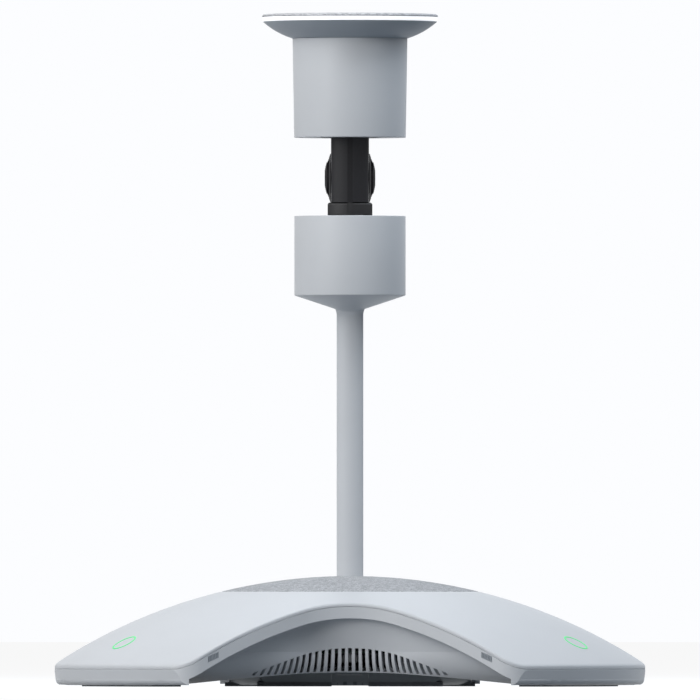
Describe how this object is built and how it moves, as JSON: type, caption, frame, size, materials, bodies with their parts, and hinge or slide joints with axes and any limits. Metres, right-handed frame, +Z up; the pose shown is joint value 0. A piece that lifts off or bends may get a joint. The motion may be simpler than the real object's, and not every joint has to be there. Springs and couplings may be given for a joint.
{
  "type": "conference camera",
  "caption": "Tabletop conference camera: three-armed domed base with a speaker, oval pole, and a head that slides down to hide its lenses.",
  "frame": {"origin": "on the axis of the pole and the two cans, in the plane of the table", "axes": "+Z up the pole; +X to the right of a viewer at the front, along the axis of the two lenses; +Y to the back, along the arm that points away from the cable comb"},
  "size_m": [0.3244, 0.2972, 0.37],
  "materials": {
    "light_paint": "satin light grey paint on moulded plastic",
    "flare_paint": "satin mid grey paint",
    "dark_plastic": "fine-grained dark grey moulding",
    "inner_black": "matt black moulding",
    "camera_black": "half-gloss black moulding",
    "feet_rubber": "matt rubber",
    "speaker_cloth": "woven grey acoustic cloth",
    "top_cloth": "woven light grey acoustic cloth",
    "green_light": "translucent, lit green",
    "white_light": "translucent white diffuser",
    "front_glass": "coated, dark violet",
    "circuit_board": "solder mask",
    "bright_steel": "zinc-plated",
    "cast_aluminium": "die-cast",
    "bush_plastic": "natural acetal",
    "cone_paper": "coated paper cone"
  },
  "bodies": {
    "base": {"base_tray": "light_paint", "top_cover": "light_paint", "bottom_cover": "dark_plastic", "cable_comb": "dark_plastic", "hub_feet": "feet_rubber", "arm_feet": "feet_rubber", "speaker_grille": "dark_plastic", "speaker_fabric": "speaker_cloth", "speaker_baffle": "inner_black", "speaker_front": "inner_black", "speaker_left": "inner_black", "speaker_right": "inner_black", "cone_front": "cone_paper", "cone_left": "cone_paper", "cone_right": "cone_paper", "main_board": "circuit_board", "heat_sink": "cast_aluminium", "port_block": "dark_plastic", "mic_grilles": "flare_paint", "mic_boards": "circuit_board", "touch_ring_left": "green_light", "touch_ring_right": "green_light", "touch_ring_back": "green_light", "touch_boards": "circuit_board", "cover_screws": "bright_steel", "hub_screws": "bright_steel", "baffle_screws": "bright_steel", "pole_screws": "bright_steel", "pole_base": "cast_aluminium", "pole": "light_paint", "lower_can": "light_paint", "can_top_plate": "light_paint", "guide_bush": "bush_plastic", "friction_spring": "bright_steel"},
    "head": {"guide_blade": "bright_steel", "camera_frame": "camera_black", "camera_shell_left": "camera_black", "camera_shell_right": "camera_black", "lens_bezel_left": "camera_black", "lens_bezel_right": "camera_black", "lens_glass_left": "front_glass", "lens_glass_right": "front_glass", "lens_barrel_left": "camera_black", "lens_barrel_right": "camera_black", "sensor_boards": "circuit_board", "upper_can": "light_paint", "head_chassis": "cast_aluminium", "processor_board": "circuit_board", "head_heat_sink": "cast_aluminium", "head_screws": "bright_steel", "top_flare": "flare_paint", "light_ring": "white_light", "mic_array_board": "circuit_board", "top_grille": "dark_plastic", "top_fabric": "top_cloth"}
  },
  "joints": [
    {"name": "head_slide", "type": "slide", "parent": "base", "child": "head", "axis": [0, 0, 1], "range_m": [-0.043, 0]}
  ]
}
